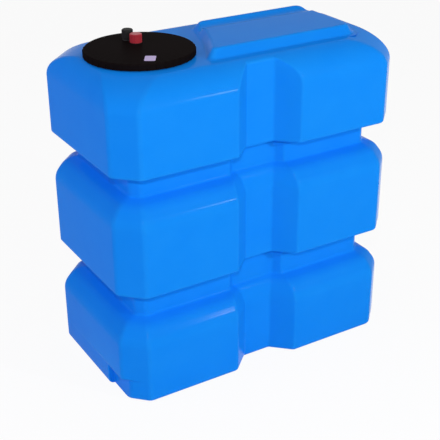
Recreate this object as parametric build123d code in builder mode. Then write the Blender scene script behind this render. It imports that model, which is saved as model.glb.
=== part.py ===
from build123d import *
import math
import os

# Upright storage tank for drinking water, moulded in one piece, with a black
# screw lid over the manhole. Z up, origin at the centre of the base.

# ---- tank outline
length = 1250.0
width = 700.0
wall = 6.5
corner_cut = 85.0
upright_bevel = 11.0
base_round = 22.0

# ---- levels of the three tiers
low_face_top = 270.0
mid_face_bottom = 471.0
mid_face_top = 773.0
top_face_bottom = 951.0
top_face_top = 1185.0
deck_height = 1290.0

# ---- grooves between the tiers
groove_depth = 90.0
shoulder_bend_in = 38.0
shoulder_bend_rise = 56.0
shoulder_rise = 74.0
groove_ceiling = 18.0
face_round = 85.0
bend_round = 85.0
hollow_round = 14.0
ceiling_round = 10.0
lip_round = 12.0
round_turns = 3

# ---- upright channel in the middle of each long side
channel_mouth = 280.0
channel_floor = 122.0
channel_depth = 75.0
channel_extra = 42.0
channel_spread = 36.0

# ---- rounded brow between the top tier and the deck
deck_inset_end = 66.0
deck_inset_side = 105.0
deck_corner_cut = 150.0
brow_turn = 76.0
brow_steps = 5

# ---- raised plateau beside the lid
plateau_height = 35.0
plateau_draft = 23.0
plateau_far = 502.0
plateau_front = 205.0
plateau_rear = 192.0
plateau_near_front = -186.0
plateau_near_rear = -21.0
plateau_near_bow = 14.0
plateau_corner_cut = 32.0
plateau_bevel = 9.0
gutter_y = 110.0
gutter_width = 90.0
gutter_depth = 12.0

# ---- outlet recess at the foot of one end
recess_width = 118.0
recess_height = 95.0
recess_depth = 25.0

# ---- neck, lid and seal
neck_x = -355.0
mouth_diameter = 370.0
neck_wall = 10.0
neck_height = 15.0
neck_blend = 4.0
thread_room = 7.0
lid_wall = 6.0
lid_panel = 8.0
lid_skirt = 16.0
lid_bevel = 3.5
grip_count = 40
grip_proud = 1.4
grip_width = 9.0
seal_thickness = 4.0
ring_sides = 36

# ---- breather
breather_x = 9.0
breather_y = 114.0
stem_diameter = 24.0
stem_bore = 17.0
stem_height = 35.0
stem_below = 15.0
flange_diameter = 38.0
flange_thickness = 3.0
washer_thickness = 2.0
nut_across = 34.0
nut_height = 7.0
hood_diameter = 43.0
hood_height = 31.0
hood_wall = 2.6
hood_top = 5.0
hood_bevel = 3.0
hood_fin_count = 4
hood_fin_width = 2.4
hood_fin_drop = 9.0
window_count = 4
window_width = 8.0
window_height = 8.0
hole_clearance = 0.3
stem_closed_end = 3.0
fin_clearance = 0.15
nut_clearance = 0.3

# ---- filler cap
filler_x = 17.0
filler_y = 60.0
spout_diameter = 36.0
spout_bore = 28.0
spout_height = 28.0
cap_clearance = 0.8
cap_wall = 3.2
cap_top = 5.0
cap_gap = 1.0
cap_seal = 2.0
cap_bevel = 2.0
spout_flange = 5.0
spout_flange_thickness = 2.0
spout_clearance = 0.3
cap_rib_count = 18
cap_rib_proud = 1.2
cap_rib_width = 3.6


def parallel(depth, rise):
    """Shift of a sloping face's ends, per unit of wall measured inwards."""
    return (math.hypot(depth, rise) - rise) / depth


def outline(share, grow):
    """Plan of the tank at one level. share runs from 0 on the outer faces to
    1 at the back of a groove, and grow moves every side further in."""
    inset = groove_depth * share + grow
    hx = length / 2 - inset
    hy = width / 2 - inset
    cut = corner_cut - inset * (2 - math.sqrt(2))
    half_slope = (channel_mouth - channel_floor) / 2
    spread = channel_spread * share + grow * parallel(channel_depth, half_slope)
    deep = channel_depth - (groove_depth - channel_extra) * share
    floor = channel_floor / 2 + spread
    mouth = floor + half_slope * deep / channel_depth
    fy = hy - deep
    rear = [(hx, hy - cut), (hx - cut, hy), (mouth, hy), (floor, fy)]
    rear += [(-x, y) for x, y in reversed(rear)]
    return rear + [(-x, -y) for x, y in rear]


def groove_profile(face_top, next_bottom):
    """Corners of one groove from below: inset, height and round."""
    return [
        (0.0, face_top, face_round),
        (shoulder_bend_in, face_top + shoulder_bend_rise, bend_round),
        (groove_depth, face_top + shoulder_rise, hollow_round),
        (groove_depth, next_bottom - groove_ceiling, ceiling_round),
        (0.0, next_bottom, lip_round),
    ]


def base_levels():
    """Height, share and inward shift where the foot of the tank rounds in."""
    steps = [math.radians(angle) for angle in (0, 30, 60)]
    return [
        (base_round * (1 - math.cos(a)), 0.0, base_round * (1 - math.sin(a)))
        for a in steps
    ]


def tier_levels(grow, turns, foot):
    """Height, share and inward shift of every level of the three tiers. Each
    corner of the grooves turns in the given number of short steps."""
    corners = groove_profile(low_face_top, mid_face_bottom)
    corners += groove_profile(mid_face_top, top_face_bottom)
    path = [(0.0, foot, 0.0)] + corners + [(0.0, top_face_top, 0.0)]
    levels = [(foot, 0.0, grow)]
    for before, corner, after in zip(path, path[1:], path[2:]):
        start = math.atan2(corner[0] - before[0], corner[1] - before[1])
        turn = math.atan2(after[0] - corner[0], after[1] - corner[1]) - start
        reach = corner[2] * math.tan(abs(turn) / 2)
        side = math.copysign(1.0, turn)
        foot_in = corner[0] - reach * math.sin(start)
        foot_up = corner[1] - reach * math.cos(start)
        for k in range(turns + 1):
            angle = start + turn * k / turns
            bow_in = side * corner[2] * (math.cos(start) - math.cos(angle))
            bow_up = side * corner[2] * (math.sin(angle) - math.sin(start))
            levels.append((
                foot_up + bow_up - grow * math.sin(angle),
                (foot_in + bow_in) / groove_depth,
                grow * math.cos(angle),
            ))
    levels.append((top_face_top, 0.0, grow))
    return levels


def brow_plan(share, grow):
    """Plan of the brow without the channels, from 0 at its foot to 1 above."""
    hx = length / 2 - deck_inset_end * share - grow
    hy = width / 2 - deck_inset_side * share - grow
    cut = corner_cut + (deck_corner_cut - corner_cut) * share
    rear = [(hx, hy - cut), (hx - cut, hy), (cut - hx, hy), (-hx, hy - cut)]
    return rear + [(-x, -y) for x, y in rear]


def brow_levels(top):
    """Height and share of each level of the brow, which turns like an arc."""
    full = math.radians(brow_turn)
    levels = []
    for k in range(brow_steps + 1):
        turn = full * k / brow_steps
        rise = (top - top_face_top) * math.sin(turn) / math.sin(full)
        levels.append((top_face_top + rise, (1 - math.cos(turn)) / (1 - math.cos(full))))
    return levels


def plateau_plan(grow):
    """Corners of the plateau at deck level, moved in by grow on every side."""
    far = plateau_far - grow
    front = -plateau_front + grow
    rear = plateau_rear - grow
    return [
        (plateau_near_front + grow, front),
        (far - plateau_corner_cut, front),
        (far, front + plateau_corner_cut),
        (far, rear - plateau_corner_cut),
        (far - plateau_corner_cut, rear),
        (plateau_near_rear + grow, rear),
    ]


ceiling = deck_height - wall
plateau_top = deck_height + plateau_height
plateau_taper = math.degrees(math.atan2(plateau_draft, plateau_height))
gutter_radius = (gutter_width**2 / 4 + gutter_depth**2) / (2 * gutter_depth)

neck_radius = mouth_diameter / 2 + neck_wall
neck_top = deck_height + neck_height
lid_inner_radius = neck_radius + thread_room
lid_radius = lid_inner_radius + lid_wall
lid_underside = neck_top + seal_thickness
lid_top = lid_underside + lid_panel
lid_foot = lid_underside - lid_skirt

# ---- hollow of the tank: the same tiers, one wall further in
with BuildPart() as hollow:
    for z, share, grow in tier_levels(wall, 1, wall):
        with BuildSketch(Plane.XY.offset(z)):
            with BuildLine():
                Polyline(*outline(share, grow), close=True)
            make_face()
    loft(ruled=True)
    for z, share in brow_levels(ceiling):
        with BuildSketch(Plane.XY.offset(z)):
            with BuildLine():
                Polyline(*brow_plan(share, wall), close=True)
            make_face()
    loft(ruled=True)
    with BuildSketch(Plane.XY.offset(top_face_top)):
        Rectangle(channel_mouth + 4 * wall, width)
        with BuildLine():
            Polyline(*outline(0, wall), close=True)
        make_face(mode=Mode.SUBTRACT)
    extrude(amount=deck_height - top_face_top, mode=Mode.SUBTRACT)
    with BuildSketch(Plane.XY.offset(ceiling)):
        with BuildLine():
            Polyline(*plateau_plan(wall))
            SagittaArc(plateau_plan(wall)[-1], plateau_plan(wall)[0], plateau_near_bow)
        make_face()
    extrude(amount=plateau_height - gutter_depth, taper=plateau_taper)
    with BuildSketch(Plane.XY):
        with Locations((-length / 2, -width / 2)):
            Rectangle(
                2 * (recess_depth + wall),
                2 * (corner_cut + recess_width + wall),
            )
    extrude(amount=recess_height + wall, mode=Mode.SUBTRACT)
    with BuildSketch(Plane.XY.offset(ceiling - wall)):
        with Locations((neck_x, 0)):
            RegularPolygon(mouth_diameter / 2, 2 * ring_sides, major_radius=False)
    extrude(amount=neck_height + 4 * wall)

# ---- plan of the top tier, used to carry its channels up through the brow
with BuildSketch(Plane.XY.offset(top_face_top)) as top_plan:
    with BuildLine():
        Polyline(*outline(0, 0), close=True)
    make_face()
    chamfer(top_plan.vertices(), upright_bevel)

# ---- crown: brow, deck, plateau and neck above the top tier
with BuildPart() as crown:
    for z, share in brow_levels(deck_height):
        with BuildSketch(Plane.XY.offset(z)) as level:
            with BuildLine():
                Polyline(*brow_plan(share, 0.0), close=True)
            make_face()
            chamfer(level.vertices(), upright_bevel)
    loft(ruled=True)
    with BuildSketch(Plane.XY.offset(top_face_top)):
        Rectangle(channel_mouth + 2 * upright_bevel, width + 2 * wall)
        add(top_plan.sketch, mode=Mode.SUBTRACT)
    extrude(amount=2 * (deck_height - top_face_top), mode=Mode.SUBTRACT)
    with BuildSketch(Plane.XY.offset(deck_height)):
        with BuildLine():
            Polyline(*plateau_plan(0.0))
            SagittaArc(plateau_plan(0.0)[-1], plateau_plan(0.0)[0], plateau_near_bow)
        make_face()
    extrude(amount=plateau_height, taper=plateau_taper)
    chamfer(crown.faces().sort_by(Axis.Z)[-1].edges(), plateau_bevel)
    with BuildSketch(Plane.YZ.offset(plateau_near_front)):
        with Locations((gutter_y, plateau_top - gutter_depth + gutter_radius)):
            Circle(gutter_radius)
    extrude(amount=2 * plateau_far, mode=Mode.SUBTRACT)
    with BuildSketch(Plane.XY.offset(deck_height - wall / 2)):
        with Locations((neck_x, 0)):
            Circle(neck_radius)
    extrude(amount=neck_height + wall / 2)
    neck_foot = crown.edges().filter_by(GeomType.CIRCLE).filter_by(
        lambda e: abs(e.radius - neck_radius) < 0.01 and e.center().Z < deck_height + 1
    )
    chamfer(neck_foot, neck_blend)

# ---- tank body: tiers and crown in one hollow moulding
with BuildPart() as tank_body:
    for z, share, grow in base_levels() + tier_levels(0.0, round_turns, base_round):
        with BuildSketch(Plane.XY.offset(z)) as level:
            with BuildLine():
                Polyline(*outline(share, grow), close=True)
            make_face()
            chamfer(level.vertices(), upright_bevel)
    loft(ruled=True)
    add(crown.part)
    with BuildSketch(Plane.XY):
        with Locations((-length / 2, -width / 2)):
            Rectangle(2 * recess_depth, 2 * (corner_cut + recess_width))
    extrude(amount=recess_height, mode=Mode.SUBTRACT)
    add(hollow.part, mode=Mode.SUBTRACT)

# ---- manhole lid: low cap with a ribbed skirt, bored for its two fittings
with BuildPart() as manhole_lid:
    with BuildSketch(Plane.XY.offset(lid_foot)):
        with Locations((neck_x, 0)):
            Circle(lid_radius)
    extrude(amount=lid_top - lid_foot)
    chamfer(manhole_lid.faces().sort_by(Axis.Z)[-1].edges(), lid_bevel)
    with BuildSketch(Plane.XY.offset(lid_foot)):
        with Locations((neck_x, 0)):
            with PolarLocations(lid_radius, grip_count):
                Rectangle(2 * grip_proud, grip_width)
    extrude(amount=lid_top - lid_foot - lid_bevel)
    with BuildSketch(Plane.XY.offset(lid_foot)):
        with Locations((neck_x, 0)):
            RegularPolygon(lid_inner_radius, 2 * ring_sides, major_radius=False)
    extrude(amount=lid_skirt, mode=Mode.SUBTRACT)
    with BuildSketch(Plane.XY.offset(lid_underside)):
        with Locations((neck_x + filler_x, filler_y)):
            RegularPolygon(spout_diameter / 2 + spout_clearance, ring_sides, major_radius=False)
        with Locations((neck_x + breather_x, breather_y)):
            RegularPolygon(stem_diameter / 2 + hole_clearance, ring_sides, major_radius=False)
    extrude(amount=lid_panel, mode=Mode.SUBTRACT)

# ---- seal between the neck and the lid
with BuildPart() as lid_seal:
    with BuildSketch(Plane.XY.offset(neck_top)):
        with Locations((neck_x, 0)):
            RegularPolygon(neck_radius, 2 * ring_sides)
            RegularPolygon(mouth_diameter / 2, 2 * ring_sides, mode=Mode.SUBTRACT)
    extrude(amount=seal_thickness)

# ---- filler spout: short tube through the lid, with a flange that rests on it
with BuildPart() as filler_spout:
    with BuildSketch(Plane.XY.offset(lid_top)):
        with Locations((neck_x + filler_x, filler_y)):
            RegularPolygon(spout_diameter / 2 + spout_flange, ring_sides)
    extrude(amount=spout_flange_thickness)
    with BuildSketch(Plane.XY.offset(lid_underside)):
        with Locations((neck_x + filler_x, filler_y)):
            RegularPolygon(spout_diameter / 2, ring_sides)
    extrude(amount=lid_panel + spout_height)
    with BuildSketch(Plane.XY.offset(lid_underside)):
        with Locations((neck_x + filler_x, filler_y)):
            RegularPolygon(spout_bore / 2, ring_sides)
    extrude(amount=lid_panel + spout_height, mode=Mode.SUBTRACT)

# ---- filler cap: ribbed cap over the spout, with its own seal
cap_radius = spout_diameter / 2 + cap_clearance + cap_wall
cap_foot = lid_top + spout_flange_thickness + cap_gap
cap_inside = lid_top + spout_height + cap_seal
with BuildPart() as filler_cap:
    with BuildSketch(Plane.XY.offset(cap_foot)):
        with Locations((neck_x + filler_x, filler_y)):
            RegularPolygon(cap_radius, 2 * ring_sides)
    extrude(amount=cap_inside + cap_top - cap_foot)
    chamfer(filler_cap.faces().sort_by(Axis.Z)[-1].edges(), cap_bevel)
    with BuildSketch(Plane.XY.offset(cap_foot)):
        with Locations((neck_x + filler_x, filler_y)):
            with PolarLocations(cap_radius, cap_rib_count):
                Rectangle(2 * cap_rib_proud, cap_rib_width)
    extrude(amount=cap_inside + cap_top - cap_foot - cap_bevel)
    with BuildSketch(Plane.XY.offset(cap_foot)):
        with Locations((neck_x + filler_x, filler_y)):
            RegularPolygon(cap_radius - cap_wall, ring_sides, major_radius=False)
    extrude(amount=cap_inside - cap_foot, mode=Mode.SUBTRACT)

with BuildPart() as filler_cap_seal:
    with BuildSketch(Plane.XY.offset(lid_top + spout_height)):
        with Locations((neck_x + filler_x, filler_y)):
            RegularPolygon(spout_diameter / 2, ring_sides)
    extrude(amount=cap_seal)

# ---- breather: hollow stem through the lid, held by a nut, under a hood
stem_top = lid_top + stem_height
hood_foot = stem_top + hood_top - hood_height
with BuildPart() as breather_stem:
    with BuildSketch(Plane.XY.offset(lid_underside - stem_below)):
        with Locations((neck_x + breather_x, breather_y)):
            RegularPolygon(stem_diameter / 2, ring_sides)
    extrude(amount=stem_top - lid_underside + stem_below)
    with BuildSketch(Plane.XY.offset(lid_top + washer_thickness)):
        with Locations((neck_x + breather_x, breather_y)):
            RegularPolygon(flange_diameter / 2, ring_sides)
    extrude(amount=flange_thickness)
    with BuildSketch(Plane.XY.offset(lid_underside - stem_below)):
        with Locations((neck_x + breather_x, breather_y)):
            RegularPolygon(stem_bore / 2, ring_sides, major_radius=False)
    extrude(amount=stem_top - stem_closed_end - lid_underside + stem_below, mode=Mode.SUBTRACT)
    with BuildSketch(Plane.XY.offset(hood_foot + window_height / 2)):
        with Locations((neck_x + breather_x, breather_y)):
            with PolarLocations(0, window_count // 2, angular_range=180):
                Rectangle(2 * stem_diameter, window_width)
    extrude(amount=window_height, mode=Mode.SUBTRACT)

with BuildPart() as breather_washer:
    with BuildSketch(Plane.XY.offset(lid_top)):
        with Locations((neck_x + breather_x, breather_y)):
            RegularPolygon(flange_diameter / 2, ring_sides)
            RegularPolygon(
                stem_diameter / 2 + hole_clearance,
                ring_sides,
                major_radius=False,
                mode=Mode.SUBTRACT,
            )
    extrude(amount=washer_thickness)

with BuildPart() as breather_nut:
    with BuildSketch(Plane.XY.offset(lid_underside - nut_height)):
        with Locations((neck_x + breather_x, breather_y)):
            RegularPolygon(nut_across / 2, 6, major_radius=False)
            RegularPolygon(
                stem_diameter / 2 + nut_clearance,
                ring_sides,
                major_radius=False,
                mode=Mode.SUBTRACT,
            )
    extrude(amount=nut_height)

with BuildPart() as breather_hood:
    with BuildSketch(Plane.XY.offset(hood_foot)):
        with Locations((neck_x + breather_x, breather_y)):
            RegularPolygon(hood_diameter / 2, 2 * ring_sides)
    extrude(amount=hood_height)
    chamfer(breather_hood.faces().sort_by(Axis.Z)[-1].edges(), hood_bevel)
    with BuildSketch(Plane.XY.offset(hood_foot)):
        with Locations((neck_x + breather_x, breather_y)):
            RegularPolygon(hood_diameter / 2 - hood_wall, ring_sides, major_radius=False)
    extrude(amount=stem_top - hood_foot, mode=Mode.SUBTRACT)
    fin_start = stem_diameter / 2 + fin_clearance
    fin_length = hood_diameter / 2 - hood_wall / 2 - fin_start
    with BuildSketch(Plane.XY.offset(stem_top - hood_fin_drop)):
        with Locations((neck_x + breather_x, breather_y)):
            with PolarLocations(fin_start + fin_length / 2, hood_fin_count, 45):
                Rectangle(fin_length, hood_fin_width)
    extrude(amount=hood_fin_drop)

tank_body.part.label = "tank_body"
manhole_lid.part.label = "manhole_lid"
lid_seal.part.label = "lid_seal"
filler_spout.part.label = "filler_spout"
filler_cap.part.label = "filler_cap"
filler_cap_seal.part.label = "filler_cap_seal"
breather_stem.part.label = "breather_stem"
breather_washer.part.label = "breather_washer"
breather_nut.part.label = "breather_nut"
breather_hood.part.label = "breather_hood"

os.makedirs("parts", exist_ok=True)
export_step(tank_body.part, "parts/tank_body.step")
export_step(manhole_lid.part, "parts/manhole_lid.step")
export_step(lid_seal.part, "parts/lid_seal.step")
export_step(filler_spout.part, "parts/filler_spout.step")
export_step(filler_cap.part, "parts/filler_cap.step")
export_step(filler_cap_seal.part, "parts/filler_cap_seal.step")
export_step(breather_stem.part, "parts/breather_stem.step")
export_step(breather_washer.part, "parts/breather_washer.step")
export_step(breather_nut.part, "parts/breather_nut.step")
export_step(breather_hood.part, "parts/breather_hood.step")
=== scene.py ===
"""Looks of the upright moulded water tank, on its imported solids."""

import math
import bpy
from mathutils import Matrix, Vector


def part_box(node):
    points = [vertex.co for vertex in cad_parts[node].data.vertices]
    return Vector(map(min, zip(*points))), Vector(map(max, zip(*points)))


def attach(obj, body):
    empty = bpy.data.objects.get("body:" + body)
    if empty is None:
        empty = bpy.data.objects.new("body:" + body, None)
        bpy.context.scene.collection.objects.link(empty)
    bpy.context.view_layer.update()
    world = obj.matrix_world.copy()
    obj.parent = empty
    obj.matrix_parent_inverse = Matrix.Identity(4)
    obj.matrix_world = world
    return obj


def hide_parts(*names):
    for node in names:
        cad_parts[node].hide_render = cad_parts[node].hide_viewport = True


bl_info = {
    "name": "Moulded Water Tank",
    "version": (1, 0, 0),
    "blender": (4, 5, 0),
    "location": "View3D > Sidebar > Water Tank",
    "description": "Dresses the upright moulded water tank and sets its stage",
    "category": "Object",
}

import bmesh
import bpy
from bpy.props import (
    FloatProperty,
    FloatVectorProperty,
    PointerProperty,
)
from mathutils import Matrix, Vector
from mathutils.bvhtree import BVHTree

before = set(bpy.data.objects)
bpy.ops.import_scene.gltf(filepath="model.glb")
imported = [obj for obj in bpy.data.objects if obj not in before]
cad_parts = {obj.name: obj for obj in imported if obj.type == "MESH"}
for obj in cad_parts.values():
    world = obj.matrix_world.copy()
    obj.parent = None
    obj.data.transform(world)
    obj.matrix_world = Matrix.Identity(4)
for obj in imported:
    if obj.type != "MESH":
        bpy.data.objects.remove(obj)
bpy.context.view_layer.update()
LID_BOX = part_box("manhole_lid")

# Flats round the neck, and how near the new skin a face of the solid is dropped
NECK_SIDES = 96
NEAR_SKIN = 0.0042


def middle(box):
    """Centre of a node's box."""
    return (Vector(box[0]) + Vector(box[1])) / 2


# Properties


class TankProps(bpy.types.PropertyGroup):
    """Sizes and colours of the moulded shell."""

    colour: FloatVectorProperty(
        name="Colour", description="Blue of the moulding",
        subtype="COLOR", size=3, min=0, max=1, default=(0.005, 0.24, 0.87),
    )
    # Paler blue for random patches and the shell's convex edges; along the edges it is partly rubbed
    # wear and partly a painted highlight
    pale_and_highlight_colour: FloatVectorProperty(
        name="Worn colour", description="Paler blue of rubbed places and edges",
        subtype="COLOR", size=3, min=0, max=1, default=(0.02, 0.34, 0.92),
    )
    roughness: FloatProperty(
        name="Roughness", description="Gloss of the moulded skin",
        min=0, max=1, default=0.14,
    )
    ripple: FloatProperty(
        name="Ripple", description="Height of the slow waves left by moulding",
        unit="LENGTH", default=0.0012,
    )


class ShellProps(bpy.types.PropertyGroup):
    """Shape of the moulding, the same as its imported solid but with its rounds."""

    length: FloatProperty(
        name="Length", description="Along the tank, from end to end",
        unit="LENGTH", default=1.25,
    )
    width: FloatProperty(
        name="Width", description="Across the tank, from side to side",
        unit="LENGTH", default=0.7,
    )
    corner_cut: FloatProperty(
        name="Corner cut", description="Leg of the cut upright corners",
        unit="LENGTH", default=0.085,
    )
    corner_round: FloatProperty(
        name="Corner round", description="Round where a corner cut meets a side",
        unit="LENGTH", default=0.03,
    )
    base_round: FloatProperty(
        name="Base round", description="Round at the foot of the tank",
        unit="LENGTH", default=0.022,
    )
    groove_depth: FloatProperty(
        name="Groove depth", description="From the sides of a tier to the back of a groove",
        unit="LENGTH", default=0.09,
    )
    groove_one: FloatVectorProperty(
        name="Lower groove", description="Where its shoulder starts and its roof ends",
        unit="LENGTH", size=2, default=(0.27, 0.471),
    )
    groove_two: FloatVectorProperty(
        name="Upper groove", description="Where its shoulder starts and its roof ends",
        unit="LENGTH", size=2, default=(0.773, 0.951),
    )
    shoulder_in: FloatProperty(
        name="Shoulder bend inset", description="How far in a tier's top bends",
        unit="LENGTH", default=0.038,
    )
    shoulder_up: FloatProperty(
        name="Shoulder bend height", description="How far up a tier's top bends",
        unit="LENGTH", default=0.056,
    )
    shoulder_rise: FloatProperty(
        name="Shoulder height", description="From a tier's side to the back of the groove",
        unit="LENGTH", default=0.074,
    )
    shoulder_round: FloatProperty(
        name="Shoulder round", description="Round of the two bends of a shoulder",
        unit="LENGTH", default=0.085,
    )
    hollow_round: FloatProperty(
        name="Hollow round", description="Round at the foot of a groove's back",
        unit="LENGTH", default=0.014,
    )
    roof_round: FloatProperty(
        name="Roof round", description="Round at the top of a groove's back",
        unit="LENGTH", default=0.01,
    )
    lip_round: FloatProperty(
        name="Lip round", description="Round at the foot of the tier above a groove",
        unit="LENGTH", default=0.013,
    )
    roof_drop: FloatProperty(
        name="Groove roof slope", description="How far a groove's roof falls toward its back",
        unit="LENGTH", default=0.018,
    )
    mouth: FloatProperty(
        name="Channel mouth", description="Width of the upright channel at the sides",
        unit="LENGTH", default=0.28,
    )
    floor: FloatProperty(
        name="Channel floor", description="Width of the upright channel at its floor",
        unit="LENGTH", default=0.122,
    )
    depth: FloatProperty(
        name="Channel depth", description="From the side of a tier to the channel's floor",
        unit="LENGTH", default=0.075,
    )
    extra: FloatProperty(
        name="Extra depth", description="Of the channel where it crosses a groove",
        unit="LENGTH", default=0.042,
    )
    spread: FloatProperty(
        name="Spread", description="Of the channel where it crosses a groove",
        unit="LENGTH", default=0.036,
    )
    rim_round: FloatProperty(
        name="Channel rim round", description="Round along the channel's rims and floor",
        unit="LENGTH", default=0.02,
    )
    brow_foot: FloatProperty(
        name="Brow foot", description="Height at which the top tier turns in",
        unit="LENGTH", default=1.185,
    )
    brow_turn: FloatProperty(
        name="Brow turn", description="Angle through which the brow bends in",
        subtype="ANGLE", default=math.radians(76),
    )
    deck: FloatProperty(
        name="Deck height", description="Height of the flat deck",
        unit="LENGTH", default=1.29,
    )
    deck_in: FloatVectorProperty(
        name="Deck inset", description="At the ends and at the sides",
        unit="LENGTH", size=2, default=(0.066, 0.105),
    )
    deck_cut: FloatProperty(
        name="Deck corner cut", description="Leg of the cut corners of the deck",
        unit="LENGTH", default=0.15,
    )
    recess: FloatVectorProperty(
        name="Outlet recess", description="Its depth, width and height",
        unit="LENGTH", size=3, default=(0.025, 0.118, 0.095),
    )
    plateau_height: FloatProperty(
        name="Plateau height", description="Above the deck",
        unit="LENGTH", default=0.035,
    )
    plateau_draft: FloatProperty(
        name="Plateau draft", description="How far its flanks lean in",
        unit="LENGTH", default=0.023,
    )
    plateau_round: FloatProperty(
        name="Plateau round", description="Round at its foot and along its top",
        unit="LENGTH", default=0.014,
    )
    plateau_far: FloatProperty(
        name="Plateau far end", description="Its place along the tank",
        unit="LENGTH", default=0.502,
    )
    plateau_sides: FloatVectorProperty(
        name="Plateau sides", description="Places of its front and rear flanks",
        unit="LENGTH", size=2, default=(-0.205, 0.192),
    )
    plateau_near: FloatVectorProperty(
        name="Plateau near end", description="Places of its front and rear corners",
        unit="LENGTH", size=2, default=(-0.186, -0.021),
    )
    plateau_cut: FloatProperty(
        name="Plateau corner cut", description="Leg of its two cut far corners",
        unit="LENGTH", default=0.032,
    )
    plateau_bow: FloatProperty(
        name="Plateau bow", description="How far its near flank bows in beside the lid",
        unit="LENGTH", default=0.014,
    )
    gutter: FloatVectorProperty(
        name="Gutter", description="Its place across the plateau, width and depth",
        unit="LENGTH", size=3, default=(0.11, 0.09, 0.012),
    )
    neck_x: FloatProperty(
        name="Neck place", description="Middle of the neck along the tank",
        unit="LENGTH", default=-0.355,
    )
    neck_radius: FloatProperty(
        name="Neck radius", description="Outside of the neck",
        unit="LENGTH", default=0.195,
    )


class LidProps(bpy.types.PropertyGroup):
    """Sizes and colours of the screw lid and its label."""

    colour: FloatVectorProperty(
        name="Colour", description="Black of the lid",
        subtype="COLOR", size=3, min=0, max=1, default=(0.0035, 0.002, 0.0018),
    )
    worn_colour: FloatVectorProperty(
        name="Worn colour", description="Rubbed edges of the lid",
        subtype="COLOR", size=3, min=0, max=1, default=(0.012, 0.009, 0.009),
    )
    label_colour: FloatVectorProperty(
        name="Label colour", description="Pale lilac of the blank label",
        subtype="COLOR", size=3, min=0, max=1, default=(0.56, 0.45, 0.75),
    )
    label_length: FloatProperty(
        name="Label length", description="Long side of the label",
        unit="LENGTH", default=0.06,
    )
    label_width: FloatProperty(
        name="Label width", description="Short side of the label",
        unit="LENGTH", default=0.04,
    )
    label_round: FloatProperty(
        name="Label round", description="Round of the label's corners",
        unit="LENGTH", default=0.006,
    )
    label_place: FloatVectorProperty(
        name="Label place", description="From the middle of the lid, along and across the tank",
        unit="LENGTH", size=2, default=(-0.029, -0.142),
    )
    label_turn: FloatProperty(
        name="Label turn", description="Turn of the label on the lid",
        subtype="ANGLE", default=math.radians(58),
    )


class FittingProps(bpy.types.PropertyGroup):
    """Colours of the small fittings on the lid."""

    cap_colour: FloatVectorProperty(
        name="Cap colour", description="Red of the filler cap",
        subtype="COLOR", size=3, min=0, max=1, default=(0.37, 0.02, 0.035),
    )
    hood_colour: FloatVectorProperty(
        name="Breather colour", description="Black of the breather",
        subtype="COLOR", size=3, min=0, max=1, default=(0.009, 0.008, 0.008),
    )


class StageProps(bpy.types.PropertyGroup):
    """Camera, lamps and floor."""

    camera_place: FloatVectorProperty(
        name="Camera place", description="Where the camera stands",
        subtype="XYZ_LENGTH", size=3, default=(-1.936, -3.186, 2.383),
    )
    camera_turn: FloatVectorProperty(
        name="Camera turn", description="Azimuth, tilt and roll of the camera",
        subtype="EULER", size=3,
        default=(math.radians(58.87), math.radians(-26.65), math.radians(-0.3)),
    )
    lens: FloatProperty(name="Lens", description="Focal length", default=81.1)
    key_power: FloatProperty(name="Key lamp", description="Power in watts", default=40.0)
    side_power: FloatProperty(name="Side lamp", description="Power in watts", default=54.0)
    top_power: FloatProperty(name="Top lamp", description="Power in watts", default=22.0)
    flash_power: FloatProperty(name="Edge lamps", description="Power in watts", default=55.0)
    sky: FloatProperty(name="Sky", description="Strength of the even light", default=0.22)
    backdrop: FloatProperty(name="Backdrop", description="White seen in the floor", default=0.93)


# Shared shader groups


def group_socket(tree, name, direction, kind, value=None):
    """Adds one named socket to a node group."""
    socket = tree.interface.new_socket(name=name, in_out=direction, socket_type=kind)
    if value is not None:
        socket.default_value = value
    return socket


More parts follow.
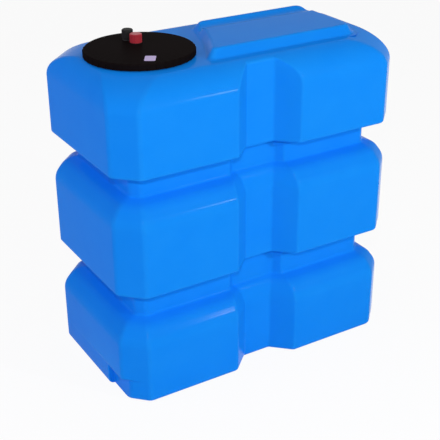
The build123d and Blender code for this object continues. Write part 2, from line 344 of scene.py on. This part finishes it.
def moulded_skin_group():
    """Slow waves, fine grain and gloss variation of moulded plastic."""
    name = "moulded_skin"
    if name in bpy.data.node_groups:
        return bpy.data.node_groups[name]
    tree = bpy.data.node_groups.new(name, "ShaderNodeTree")
    group_socket(tree, "Wave scale", "INPUT", "NodeSocketFloat", 6.0)
    group_socket(tree, "Grain scale", "INPUT", "NodeSocketFloat", 900.0)
    group_socket(tree, "Grain share", "INPUT", "NodeSocketFloat", 0.05)
    group_socket(tree, "Gloss", "INPUT", "NodeSocketFloat", 0.25)
    group_socket(tree, "Gloss spread", "INPUT", "NodeSocketFloat", 0.06)
    group_socket(tree, "Height", "OUTPUT", "NodeSocketFloat")
    group_socket(tree, "Roughness", "OUTPUT", "NodeSocketFloat")
    group_socket(tree, "Patches", "OUTPUT", "NodeSocketFloat")
    nodes, links = tree.nodes, tree.links
    gin = nodes.new("NodeGroupInput")
    gout = nodes.new("NodeGroupOutput")
    place = nodes.new("ShaderNodeTexCoord")
    waves = nodes.new("ShaderNodeTexNoise")
    waves.inputs["Detail"].default_value = 1.5
    waves.inputs["Roughness"].default_value = 0.4
    grain = nodes.new("ShaderNodeTexNoise")
    grain.inputs["Detail"].default_value = 2.0
    patches = nodes.new("ShaderNodeTexNoise")
    patches.inputs["Scale"].default_value = 9.0
    patches.inputs["Detail"].default_value = 4.0
    links.new(place.outputs["Object"], waves.inputs["Vector"])
    links.new(place.outputs["Object"], grain.inputs["Vector"])
    links.new(place.outputs["Object"], patches.inputs["Vector"])
    links.new(gin.outputs["Wave scale"], waves.inputs["Scale"])
    links.new(gin.outputs["Grain scale"], grain.inputs["Scale"])
    fine = nodes.new("ShaderNodeMath")
    fine.operation = "MULTIPLY"
    links.new(grain.outputs["Fac"], fine.inputs[0])
    links.new(gin.outputs["Grain share"], fine.inputs[1])
    total = nodes.new("ShaderNodeMath")
    total.operation = "ADD"
    links.new(waves.outputs["Fac"], total.inputs[0])
    links.new(fine.outputs[0], total.inputs[1])
    links.new(total.outputs[0], gout.inputs["Height"])
    centred = nodes.new("ShaderNodeMath")
    centred.operation = "SUBTRACT"
    centred.inputs[1].default_value = 0.5
    links.new(patches.outputs["Fac"], centred.inputs[0])
    gloss = nodes.new("ShaderNodeMath")
    gloss.operation = "MULTIPLY_ADD"
    links.new(centred.outputs[0], gloss.inputs[0])
    links.new(gin.outputs["Gloss spread"], gloss.inputs[1])
    links.new(gin.outputs["Gloss"], gloss.inputs[2])
    links.new(gloss.outputs[0], gout.inputs["Roughness"])
    links.new(patches.outputs["Fac"], gout.inputs["Patches"])
    return tree


def edge_wear_and_highlight_group():
    """Mask of the convex edges, where handling rubs the plastic and where the shell's edges are made
    paler as a painted highlight.
    """
    name = "edge_wear"
    if name in bpy.data.node_groups:
        return bpy.data.node_groups[name]
    tree = bpy.data.node_groups.new(name, "ShaderNodeTree")
    group_socket(tree, "Amount", "INPUT", "NodeSocketFloat", 0.5)
    group_socket(tree, "Mask", "OUTPUT", "NodeSocketFloat")
    nodes, links = tree.nodes, tree.links
    gin = nodes.new("NodeGroupInput")
    gout = nodes.new("NodeGroupOutput")
    shape = nodes.new("ShaderNodeNewGeometry")
    ramp = nodes.new("ShaderNodeMapRange")
    # Pointiness of the convex rounds that turn paler: rubbed wear, and on the blue shell partly a
    # painted highlight on the rounds
    ramp.inputs["From Min"].default_value = 0.505
    ramp.inputs["From Max"].default_value = 0.57
    links.new(shape.outputs["Pointiness"], ramp.inputs["Value"])
    mask = nodes.new("ShaderNodeMath")
    mask.operation = "MULTIPLY"
    links.new(ramp.outputs["Result"], mask.inputs[0])
    links.new(gin.outputs["Amount"], mask.inputs[1])
    links.new(mask.outputs[0], gout.inputs["Mask"])
    return tree


def plastic(name, colour, worn_and_highlight, gloss, spread, wave, bump, rub_and_highlight, ior, gleam=0.5):
    """Moulded plastic: base colour with paler edges, partly worn and on the tank partly a painted
    highlight, uneven gloss and skin bump.
    """
    mat = bpy.data.materials.new(name)
    mat.use_nodes = True
    nodes, links = mat.node_tree.nodes, mat.node_tree.links
    shader = nodes["Principled BSDF"]
    skin = nodes.new("ShaderNodeGroup")
    skin.node_tree = moulded_skin_group()
    skin.inputs["Wave scale"].default_value = wave
    skin.inputs["Gloss"].default_value = gloss
    skin.inputs["Gloss spread"].default_value = spread
    edges = nodes.new("ShaderNodeGroup")
    edges.node_tree = edge_wear_and_highlight_group()
    edges.inputs["Amount"].default_value = rub_and_highlight
    # The paler colour comes in at random patches and along convex edges; along the shell's edges it
    # is partly wear and partly a painted highlight
    tint = nodes.new("ShaderNodeMix")
    tint.data_type = "RGBA"
    tint.inputs["A"].default_value = (*colour, 1)
    tint.inputs["B"].default_value = (*worn_and_highlight, 1)
    lighten = nodes.new("ShaderNodeMath")
    lighten.operation = "MULTIPLY_ADD"
    lighten.use_clamp = True
    lighten.inputs[1].default_value = 0.3
    links.new(skin.outputs["Patches"], lighten.inputs[0])
    links.new(edges.outputs["Mask"], lighten.inputs[2])
    links.new(lighten.outputs[0], tint.inputs["Factor"])
    links.new(tint.outputs["Result"], shader.inputs["Base Color"])
    links.new(skin.outputs["Roughness"], shader.inputs["Roughness"])
    relief = nodes.new("ShaderNodeBump")
    relief.inputs["Strength"].default_value = 0.5
    relief.inputs["Distance"].default_value = bump
    links.new(skin.outputs["Height"], relief.inputs["Height"])
    links.new(relief.outputs["Normal"], shader.inputs["Normal"])
    shader.inputs["IOR"].default_value = ior
    shader.inputs["Specular IOR Level"].default_value = gleam
    mat.diffuse_color = (*colour, 1)
    return mat


def wear_material(node, mat):
    """Puts a material on every slot of a carried-over solid."""
    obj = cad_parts[node]
    if not obj.material_slots:
        obj.data.materials.append(mat)
    for place in obj.material_slots:
        place.material = mat


# Shape helpers


def rounded(points, rounds, steps, closed=True):
    """Line with each corner turned on its round in short steps. Each corner gives
    as many points as any other, and one more on either side keeps flats flat."""
    count = len(points)
    line = []
    for i, point in enumerate(points):
        here = Vector(point)
        ends = not closed and i in (0, count - 1)
        come = here - Vector(points[i - 1])
        go = Vector(points[(i + 1) % count]) - here
        if ends or come.length < 1e-5 or go.length < 1e-5:
            line += [here] * (1 if ends else steps + 3)
            continue
        before, after = come.normalized(), go.normalized()
        cross = before.x * after.y - before.y * after.x
        turn = math.atan2(cross, before.dot(after))
        if abs(turn) < 1e-3:
            line += [here] * (steps + 3)
            continue
        half = math.tan(abs(turn) / 2)
        reach = min(rounds[i] * half, 0.41 * come.length, 0.41 * go.length)
        side = math.copysign(reach / half, turn)
        start = here - before * reach
        centre = start + Vector((-before.y, before.x)) * side
        spare = min(0.004, 0.2 * reach)
        line.append(start - before * spare)
        for k in range(steps + 1):
            line.append(centre + Matrix.Rotation(turn * k / steps, 2) @ (start - centre))
        line.append(here + after * (reach + spare))
    return line


def soft_min(a, b, blend):
    """The smaller of two values, rounded off where they are close."""
    close = max(blend - abs(a - b), 0.0) / blend
    return min(a, b) - close * close * blend / 4


def shell_plan(look, share, grow, brow, recess):
    """Corners and rounds of the plan at one level. share runs to 1 at the back of
    a groove, grow moves all sides in, brow runs to 1 at the edge of the deck."""
    blend, tight, clear = 0.016, 0.004, 0.02
    inset = look.groove_depth * share + grow
    hx = look.length / 2 - inset - look.deck_in[0] * brow
    hy = look.width / 2 - inset - look.deck_in[1] * brow
    cut = look.corner_cut - inset * (2 - math.sqrt(2))
    cut += (look.deck_cut - look.corner_cut) * brow
    slope = (look.mouth - look.floor) / 2 / look.depth
    lean = (math.hypot(1, slope) - slope) * grow
    floor = look.floor / 2 + look.spread * share + lean
    back = look.width / 2 - look.depth - look.extra * share - grow
    fy = soft_min(hy, back, blend)
    mouth = floor + slope * max(hy - fy, 0.0)
    rear = [(hx, hy - cut), (hx - cut, hy), (mouth, hy), (floor, fy)]
    rear += [(-x, y) for x, y in reversed(rear)]
    front = [(-x, -y) for x, y in rear]
    step = max(-(look.width / 2 - look.corner_cut - look.recess[1]), cut - hy + clear)
    inner = look.length / 2 - look.recess[0] if recess else hx
    front[0] = (-inner, front[0][1] - (hx - inner))
    points = rear + [(-hx, step), (-inner, step)] + front
    big, rim = look.corner_round, look.rim_round
    rounds = [big, big, rim, rim, rim, rim, big, big]
    rounds = rounds + [tight, tight] + rounds
    return points, rounds


def shell_levels(look):
    """Height and plan of every level, from the foot to the edge of the deck."""
    foot_steps, bend_steps, brow_steps = 7, 7, 30
    ledge, past_edge, deck_blend = 0.004, 1.1, 0.0012
    levels = []
    for k in range(foot_steps + 1):
        a = math.radians(90 * k / foot_steps)
        rise = look.base_round * (1 - math.cos(a))
        levels.append((rise, shell_plan(look, 0, look.base_round * (1 - math.sin(a)), 0, True)))
    top = look.recess[2]
    levels.append((top - ledge, shell_plan(look, 0, 0, 0, True)))
    levels.append((top, shell_plan(look, 0, 0, 0, True)))
    levels.append((top, shell_plan(look, 0, 0, 0, False)))
    levels.append((top + ledge, shell_plan(look, 0, 0, 0, False)))
    path, rounds = [(0.0, top)], [0.0]
    for bottom, roof in (look.groove_one, look.groove_two):
        path += [
            (0.0, bottom),
            (look.shoulder_in, bottom + look.shoulder_up),
            (look.groove_depth, bottom + look.shoulder_rise),
            (look.groove_depth, roof - look.roof_drop),
            (0.0, roof),
        ]
        rounds += [look.shoulder_round] * 2
        rounds += [look.hollow_round, look.roof_round, look.lip_round]
    path.append((0.0, look.brow_foot))
    rounds.append(0.0)
    for inset, height in rounded(path, rounds, bend_steps, closed=False)[1:-1]:
        levels.append((height, shell_plan(look, inset / look.groove_depth, 0, 0, False)))
    rise = (look.deck - look.brow_foot) / math.sin(look.brow_turn)
    full = 1 - math.cos(look.brow_turn)
    last = math.acos(1 - past_edge * full)
    for k in range(brow_steps + 1):
        turn = last * k / brow_steps
        height = soft_min(look.brow_foot + rise * math.sin(turn), look.deck, deck_blend)
        levels.append((height, shell_plan(look, 0, 0, (1 - math.cos(turn)) / full, False)))
    return levels


def loft(bm, levels, steps):
    """Joins the levels with faces, and returns the rings of vertices."""
    rings = []
    for height, (points, rounds) in levels:
        line = rounded(points, rounds, steps)
        rings.append([bm.verts.new((p.x, p.y, height)) for p in line])
    for low, high in zip(rings, rings[1:]):
        for i in range(len(low)):
            j = (i + 1) % len(low)
            bm.faces.new((low[i], low[j], high[j], high[i]))
    return rings


def moved_in(points, amount):
    """Plan with every side moved in by the same amount."""
    moved = []
    for i, point in enumerate(points):
        here = Vector(point)
        before = (here - Vector(points[i - 1])).normalized()
        after = (Vector(points[(i + 1) % len(points)]) - here).normalized()
        left = Vector((-before.y - after.y, before.x + after.x))
        moved.append(tuple(here + left * amount / (1 + before.dot(after))))
    return moved


def plateau_levels(look):
    """Height and plan of every level of the plateau, with a flare at its foot."""
    flare, sunk, flat = 0.02, 0.0006, 0.03
    near_round, far_round, bow_round = 0.02, 0.03, 0.3
    end, cut = look.plateau_far, look.plateau_cut
    front, rear = look.plateau_sides
    near = Vector((look.plateau_near[1], rear))
    far = Vector((look.plateau_near[0], front))
    plan = [tuple(far), (end - cut, front), (end, front + cut), (end, rear - cut), (end - cut, rear)]
    rounds = [near_round] + [far_round] * 4 + [near_round]
    side = (far - near).normalized()
    bow = Vector((-side.y, side.x)) * look.plateau_bow
    chord = [0.0, 0.2, 0.4, 0.6, 0.8]
    for share in chord:
        plan.append(tuple(near.lerp(far, share) + bow * (1 - (2 * share - 1) ** 2)))
    rounds += [bow_round] * (len(chord) - 1)
    top = look.deck + look.plateau_height
    path = [(-flare, look.deck - sunk), (0.0, look.deck), (look.plateau_draft, top)]
    path.append((look.plateau_draft + flat, top))
    turns = [0, look.plateau_round, look.plateau_round, 0]
    levels = []
    for inset, height in rounded(path, turns, 6, closed=False):
        levels.append((height, (moved_in(plan, inset), rounds)))
    return levels


def carve_gutter(bm, look):
    """Sinks the round gutter along the top of the plateau."""
    place, across, deep = look.gutter
    radius = (across * across / 4 + deep * deep) / (2 * deep)
    top = look.deck + look.plateau_height
    cuts, cuts_across, lip = 13, 22, 0.003
    for k in range(-cuts, cuts + 1):
        bmesh.ops.bisect_plane(
            bm, geom=bm.verts[:] + bm.edges[:] + bm.faces[:],
            plane_co=(0, place + across * k / cuts_across, 0), plane_no=(0, 1, 0),
        )
    for vert in bm.verts:
        off = vert.co.y - place
        if abs(off) < radius:
            trough = top - deep + radius - math.sqrt(radius * radius - off * off)
            vert.co.z = soft_min(vert.co.z, trough, lip)


def solid_faces(node):
    """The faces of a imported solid, in the row frame and joined at their edges."""
    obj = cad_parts[node]
    bm = bmesh.new()
    bm.from_mesh(obj.data)
    bm.transform(obj.matrix_world)
    bmesh.ops.remove_doubles(bm, verts=bm.verts[:], dist=1e-6)
    return bm


def join_into(target, source):
    """Adds the faces of one mesh to another and frees the first."""
    spare = bpy.data.meshes.new("spare")
    source.to_mesh(spare)
    source.free()
    target.from_mesh(spare)
    bpy.data.meshes.remove(spare)


def finish_mesh(name, bm, mat, body, smooth=35):
    """Makes a piece of the mesh, smooth but for its sharp edges."""
    mesh = bpy.data.meshes.new(name)
    bm.to_mesh(mesh)
    bm.free()
    mesh.materials.append(mat)
    mesh.shade_smooth()
    mesh.set_sharp_from_angle(angle=math.radians(smooth))
    obj = bpy.data.objects.new(name, mesh)
    bpy.context.scene.collection.objects.link(obj)
    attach(obj, body)
    return obj


# Operators


class TANK_OT_body(bpy.types.Operator):
    """Builds the smooth moulded shell with its plateau, and keeps the solid's neck and inside"""

    bl_idname = "tank.body"
    bl_label = "Moulded shell"

    def execute(self, context):
        look = context.scene.tank_look
        shape = context.scene.shell_look
        # The strong paling of convex edges set here is partly wear and partly a painted highlight on
        # the rounds
        blue = plastic(
            "tank_blue_skin", look.colour, look.pale_and_highlight_colour, gloss=look.roughness,
            spread=0.06, wave=5.0, bump=look.ripple, rub_and_highlight=0.8, ior=1.06,
        )
        bm = bmesh.new()
        rings = loft(bm, shell_levels(shape), 6)
        bm.faces.new(list(reversed(rings[0])))
        bmesh.ops.remove_doubles(bm, verts=bm.verts[:], dist=2e-5)
        rim = [edge for edge in bm.edges if edge.is_boundary]
        if not rim or min(v.co.z for edge in rim for v in edge.verts) < shape.deck - 1e-3:
            raise RuntimeError("the shell is open below its deck")
        hole = []
        in_wall, foot, foot_drop, bore = 0.007, 0.007, 0.0055, 0.005
        for k in range(NECK_SIDES):
            a = 2 * math.pi * k / NECK_SIDES
            reach = shape.neck_radius - in_wall
            hole.append(bm.verts.new((
                shape.neck_x + reach * math.cos(a), reach * math.sin(a), shape.deck,
            )))
        for k in range(NECK_SIDES):
            rim.append(bm.edges.new((hole[k], hole[(k + 1) % NECK_SIDES])))
        made = bmesh.ops.triangle_fill(bm, use_beauty=True, edges=rim, normal=(0, 0, 1))
        if not any(isinstance(item, bmesh.types.BMFace) for item in made["geom"]):
            raise RuntimeError("the deck was not filled")

        raised = bmesh.new()
        rings = loft(raised, plateau_levels(shape), 5)
        raised.faces.new(rings[-1])
        bmesh.ops.remove_doubles(raised, verts=raised.verts[:], dist=2e-5)
        carve_gutter(raised, shape)
        join_into(bm, raised)

        outside = BVHTree.FromBMesh(bm)
        packed = solid_faces("tank_body")
        drop = []
        for face in packed.faces:
            spot = face.calc_center_median()
            from_neck = math.hypot(spot.x - shape.neck_x, spot.y)
            low = max(v.co.z for v in face.verts) < shape.deck + 1e-4
            if from_neck < shape.neck_radius + foot and spot.z > shape.deck - foot_drop:
                if not low or from_neck < shape.neck_radius - bore:
                    continue
            if outside.find_nearest(spot)[3] < NEAR_SKIN:
                drop.append(face)
        bmesh.ops.delete(packed, geom=drop, context="FACES")
        join_into(bm, packed)
        shell = finish_mesh("moulded_shell", bm, blue, "tank")
        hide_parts("tank_body")
        return {"FINISHED"}


class TANK_OT_thread(bpy.types.Operator):
    """Winds the thread of the neck under the lid"""

    bl_idname = "tank.thread"
    bl_label = "Neck thread"

    def execute(self, context):
        shape = context.scene.shell_look
        bm = bmesh.new()
        turns = 1.2
        last = int(turns * NECK_SIDES)
        pitch, proud, half = 0.008, 0.0038, 0.0022
        start = shape.deck + half + 0.001
        before = None
        for k in range(last + 1):
            a = 2 * math.pi * k / NECK_SIDES
            fade = min(1.0, k / 10, (last - k) / 10)
            height = start + pitch * k / NECK_SIDES
            ring = []
            for out, up in ((-0.001, -half), (proud * fade, -0.3 * half),
                            (proud * fade, 0.3 * half), (-0.001, half)):
                reach = shape.neck_radius + out
                ring.append(bm.verts.new((
                    shape.neck_x + reach * math.cos(a), reach * math.sin(a), height + up,
                )))
            if before:
                for i in range(4):
                    j = (i + 1) % 4
                    bm.faces.new((before[j], before[i], ring[i], ring[j]))
            else:
                bm.faces.new(ring)
            before = ring
        bm.faces.new(list(reversed(before)))
        bmesh.ops.recalc_face_normals(bm, faces=bm.faces[:])
        finish_mesh("neck_thread", bm, bpy.data.materials["tank_blue_skin"], "tank")
        return {"FINISHED"}


class TANK_OT_lid(bpy.types.Operator):
    """Finishes the black lid"""

    bl_idname = "tank.lid"
    bl_label = "Screw lid"

    def execute(self, context):
        look = context.scene.lid_look
        black = plastic(
            "lid_black_skin", look.colour, look.worn_colour, gloss=0.38,
            spread=0.1, wave=14.0, bump=0.0004, rub_and_highlight=0.4, ior=1.02, gleam=0.3,
        )
        wear_material("manhole_lid", black)
        rubber = plastic(
            "seal_rubber_skin", (0.03, 0.03, 0.03), (0.05, 0.05, 0.05), gloss=0.6,
            spread=0.1, wave=20.0, bump=0.0002, rub_and_highlight=0.3, ior=1.3,
        )
        for node in ("lid_seal", "filler_cap_seal", "breather_washer"):
            wear_material(node, rubber)
        return {"FINISHED"}


class TANK_OT_label(bpy.types.Operator):
    """Lays the blank label on the lid"""

    bl_idname = "tank.label"
    bl_label = "Blank label"

    def execute(self, context):
        look = context.scene.lid_look
        centre = middle(LID_BOX)
        top = LID_BOX[1][2]
        mesh = bpy.data.meshes.new("blank_label")
        bm = bmesh.new()
        half_l, half_w, corner = look.label_length / 2, look.label_width / 2, look.label_round
        ring = []
        for sx, sy, start in ((1, 1, 0), (-1, 1, 90), (-1, -1, 180), (1, -1, 270)):
            for step in range(7):
                a = math.radians(start + 15 * step)
                ring.append((
                    sx * (half_l - corner) + corner * math.cos(a),
                    sy * (half_w - corner) + corner * math.sin(a),
                ))
        low = [bm.verts.new((x, y, 0.0)) for x, y in ring]
        high = [bm.verts.new((x * 0.995, y * 0.995, 0.0003)) for x, y in ring]
        bm.faces.new(high)
        bm.faces.new(list(reversed(low)))
        for i in range(len(ring)):
            j = (i + 1) % len(ring)
            bm.faces.new((low[i], low[j], high[j], high[i]))
        turn = Matrix.Rotation(look.label_turn, 4, "Z")
        along, across = look.label_place
        place = Matrix.Translation((centre.x + along, centre.y + across, top + 0.0001))
        bm.transform(place @ turn)
        bm.to_mesh(mesh)
        bm.free()
        label = bpy.data.objects.new("blank_label", mesh)
        context.scene.collection.objects.link(label)
        paper = plastic(
            "label_paper", look.label_colour, (0.6, 0.5, 0.78), gloss=0.5,
            spread=0.1, wave=60.0, bump=0.0001, rub_and_highlight=0.2, ior=1.3,
        )
        mesh.materials.append(paper)
        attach(label, "lid")
        return {"FINISHED"}


class TANK_OT_fittings(bpy.types.Operator):
    """Finishes the filler cap and the breather"""

    bl_idname = "tank.fittings"
    bl_label = "Cap and breather"

    def execute(self, context):
        look = context.scene.fitting_look
        red = plastic(
            "cap_red_skin", look.cap_colour, (0.45, 0.04, 0.055), gloss=0.3,
            spread=0.1, wave=60.0, bump=0.0002, rub_and_highlight=0.6, ior=1.2, gleam=0.8,
        )
        wear_material("filler_cap", red)
        black = plastic(
            "breather_black_skin", look.hood_colour, (0.03, 0.03, 0.03), gloss=0.35,
            spread=0.1, wave=60.0, bump=0.0002, rub_and_highlight=0.6, ior=1.06,
        )
        for node in ("filler_spout", "breather_stem", "breather_nut", "breather_hood"):
            wear_material(node, black)
        return {"FINISHED"}


class TANK_OT_stage(bpy.types.Operator):
    """Sets the floor, the lamps and the camera"""

    bl_idname = "tank.stage"
    bl_label = "Stage"

    def seen_white(self, tree, shaded, share):
        """Mixes white into what the camera and reflections see, but lights nothing."""
        nodes, links = tree.nodes, tree.links
        is_world = any(node.type == "OUTPUT_WORLD" for node in nodes)
        kind = "ShaderNodeBackground" if is_world else "ShaderNodeEmission"
        white = nodes.new(kind)
        white.inputs["Color"].default_value = (1, 1, 1, 1)
        white.inputs["Strength"].default_value = 1.0
        ray = nodes.new("ShaderNodeLightPath")
        looks = nodes.new("ShaderNodeMath")
        looks.operation = "MAXIMUM"
        either = nodes.new("ShaderNodeMath")
        either.operation = "MAXIMUM"
        amount = nodes.new("ShaderNodeMath")
        amount.operation = "MULTIPLY"
        amount.inputs[1].default_value = share
        choose = nodes.new("ShaderNodeMixShader")
        links.new(ray.outputs["Is Camera Ray"], looks.inputs[0])
        links.new(ray.outputs["Is Glossy Ray"], looks.inputs[1])
        links.new(looks.outputs[0], either.inputs[0])
        links.new(ray.outputs["Is Transmission Ray"], either.inputs[1])
        links.new(either.outputs[0], amount.inputs[0])
        links.new(amount.outputs[0], choose.inputs[0])
        links.new(shaded, choose.inputs[1])
        links.new(white.outputs[0], choose.inputs[2])
        return choose.outputs[0]

    def execute(self, context):
        scene = context.scene
        look = scene.stage_look
        scene.view_settings.view_transform = "Standard"
        mesh = bpy.data.meshes.new("studio_floor")
        bm = bmesh.new()
        reach = 14.0
        corners = [bm.verts.new((x, y, -0.0005)) for x, y in
                   ((-reach, -reach), (reach, -reach), (reach, reach), (-reach, reach))]
        bm.faces.new(corners)
        bm.to_mesh(mesh)
        bm.free()
        floor = bpy.data.objects.new("studio_floor", mesh)
        scene.collection.objects.link(floor)
        mat = bpy.data.materials.new("studio_floor_pale")
        mat.use_nodes = True
        shader = mat.node_tree.nodes["Principled BSDF"]
        shader.inputs["Base Color"].default_value = (0.95, 0.95, 0.95, 1)
        shader.inputs["Roughness"].default_value = 0.9
        shader.inputs["Specular IOR Level"].default_value = 0.1
        seen = self.seen_white(mat.node_tree, shader.outputs[0], look.backdrop)
        mat.node_tree.links.new(seen, mat.node_tree.nodes["Material Output"].inputs["Surface"])
        mesh.materials.append(mat)

        world = bpy.data.worlds.new("studio")
        world.use_nodes = True
        scene.world = world
        nodes, links = world.node_tree.nodes, world.node_tree.links
        soft = nodes["Background"]
        soft.inputs["Color"].default_value = (0.95, 0.97, 1.0, 1)
        soft.inputs["Strength"].default_value = look.sky
        seen = self.seen_white(world.node_tree, soft.outputs[0], 1.0)
        links.new(seen, nodes["World Output"].inputs["Surface"])

        plain, violet = (1.0, 1.0, 1.0), (0.8, 0.66, 1.0)
        for name, place, aim, size, power, colour in (
            ("key", (1.6, -4.2, 3.0), (0, 0, 0.7), 3.2, look.key_power, plain),
            ("side", (-4.6, 0.6, 2.2), (0, 0, 0.7), 3.0, look.side_power, violet),
            ("top", (-0.3, 0.4, 5.0), (0, 0, 1.2), 3.0, look.top_power, plain),
            ("edge_left", (-2.1, -3.3, 2.9), (0, 0, 0.8), 0.1, look.flash_power, plain),
            ("edge_right", (1.9, -3.9, 2.4), (0, 0, 0.8), 0.1, look.flash_power, plain),
        ):
            lamp = bpy.data.lights.new(name, "AREA")
            lamp.shape = "DISK"
            lamp.size = size
            lamp.energy = power
            lamp.color = colour
            obj = bpy.data.objects.new(name, lamp)
            obj.location = place
            aimed = Vector(aim) - Vector(place)
            obj.rotation_euler = aimed.to_track_quat("-Z", "Y").to_euler()
            scene.collection.objects.link(obj)

        cam = bpy.data.cameras.new("camera")
        cam.lens = look.lens
        cam.sensor_width = 36.0
        obj = bpy.data.objects.new("camera", cam)
        azimuth, tilt, roll = look.camera_turn
        ahead = Vector((
            math.cos(tilt) * math.cos(azimuth),
            math.cos(tilt) * math.sin(azimuth),
            math.sin(tilt),
        ))
        right = ahead.cross(Vector((0, 0, 1))).normalized()
        up = right.cross(ahead)
        right, up = (
            math.cos(roll) * right + math.sin(roll) * up,
            math.cos(roll) * up - math.sin(roll) * right,
        )
        turn = Matrix((right, up, -ahead)).transposed()
        obj.matrix_world = Matrix.Translation(look.camera_place) @ turn.to_4x4()
        scene.collection.objects.link(obj)
        scene.camera = obj
        return {"FINISHED"}


class TANK_PT_panel(bpy.types.Panel):
    """Steps that dress the tank"""

    bl_label = "Water Tank"
    bl_idname = "TANK_PT_panel"
    bl_space_type = "VIEW_3D"
    bl_region_type = "UI"
    bl_category = "Water Tank"

    def draw(self, context):
        scene = context.scene
        for props in (getattr(scene, key) for key, cls in PROPS):
            box = self.layout.box()
            for key in props.bl_rna.properties.keys():
                if key not in {"rna_type", "name"}:
                    box.prop(props, key)
        for step in STEPS:
            self.layout.operator(step.bl_idname)


PROPS = (
    ("tank_look", TankProps),
    ("shell_look", ShellProps),
    ("lid_look", LidProps),
    ("fitting_look", FittingProps),
    ("stage_look", StageProps),
)
STEPS = (TANK_OT_body, TANK_OT_thread, TANK_OT_lid, TANK_OT_label, TANK_OT_fittings, TANK_OT_stage)


def register():
    """Adds the properties, the steps and the panel."""
    for key, cls in PROPS:
        bpy.utils.register_class(cls)
        setattr(bpy.types.Scene, key, PointerProperty(type=cls))
    for cls in STEPS + (TANK_PT_panel,):
        bpy.utils.register_class(cls)


def unregister():
    """Takes them away again."""
    for cls in (TANK_PT_panel,) + tuple(reversed(STEPS)):
        bpy.utils.unregister_class(cls)
    for key, cls in reversed(PROPS):
        delattr(bpy.types.Scene, key)
        bpy.utils.unregister_class(cls)


def main():
    """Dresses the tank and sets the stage."""
    register()
    bpy.ops.tank.body()
    bpy.ops.tank.thread()
    bpy.ops.tank.lid()
    bpy.ops.tank.label()
    bpy.ops.tank.fittings()
    bpy.ops.tank.stage()


if __name__ == "__main__":
    main()
